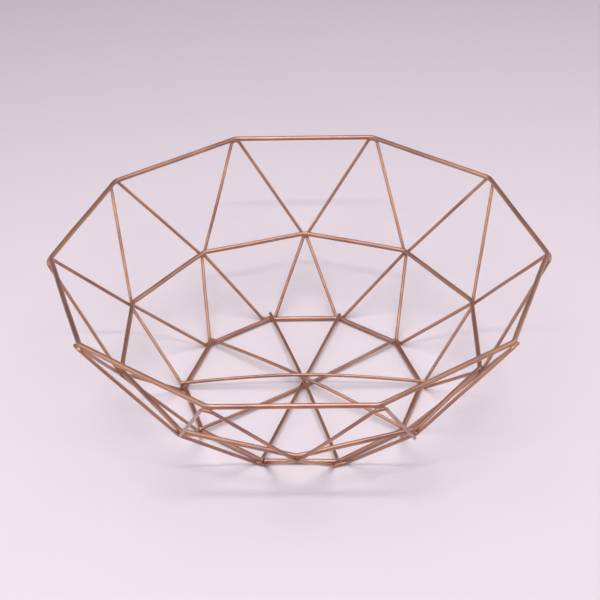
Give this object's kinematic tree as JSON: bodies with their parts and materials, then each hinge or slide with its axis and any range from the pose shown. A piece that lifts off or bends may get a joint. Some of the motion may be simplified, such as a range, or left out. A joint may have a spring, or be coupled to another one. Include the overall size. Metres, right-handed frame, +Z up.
{
  "type": "wire produce basket",
  "caption": "Open bowl-shaped wire basket of ten-cornered rings, bent triangular braces and crossed base spokes, for holding fruit and vegetables.",
  "frame": {"origin": "centre of the base, on the surface the basket stands on", "axes": "+Z up out of the mouth; -Y the side seen in front; +X to the right, through a corner of the rim"},
  "size_m": [0.284, 0.2714, 0.0962],
  "materials": {
    "ring_wire": "satin copper-coloured metallic lacquer on drawn steel wire",
    "brace_wire": "satin copper-coloured metallic lacquer on drawn steel wire",
    "spoke_wire": "satin copper-coloured metallic lacquer on drawn steel wire"
  },
  "bodies": {
    "root": {"rim_ring": "ring_wire", "middle_ring": "ring_wire", "base_ring": "ring_wire", "upper_brace_01": "brace_wire", "upper_brace_02": "brace_wire", "upper_brace_03": "brace_wire", "upper_brace_04": "brace_wire", "upper_brace_05": "brace_wire", "upper_brace_06": "brace_wire", "upper_brace_07": "brace_wire", "upper_brace_08": "brace_wire", "upper_brace_09": "brace_wire", "upper_brace_10": "brace_wire", "lower_brace_01": "brace_wire", "lower_brace_02": "brace_wire", "lower_brace_03": "brace_wire", "lower_brace_04": "brace_wire", "lower_brace_05": "brace_wire", "lower_brace_06": "brace_wire", "lower_brace_07": "brace_wire", "lower_brace_08": "brace_wire", "lower_brace_09": "brace_wire", "lower_brace_10": "brace_wire", "base_spoke_1": "spoke_wire", "base_spoke_2": "spoke_wire", "base_spoke_3": "spoke_wire", "base_spoke_4": "spoke_wire", "base_spoke_5": "spoke_wire"}
  },
  "joints": []
}
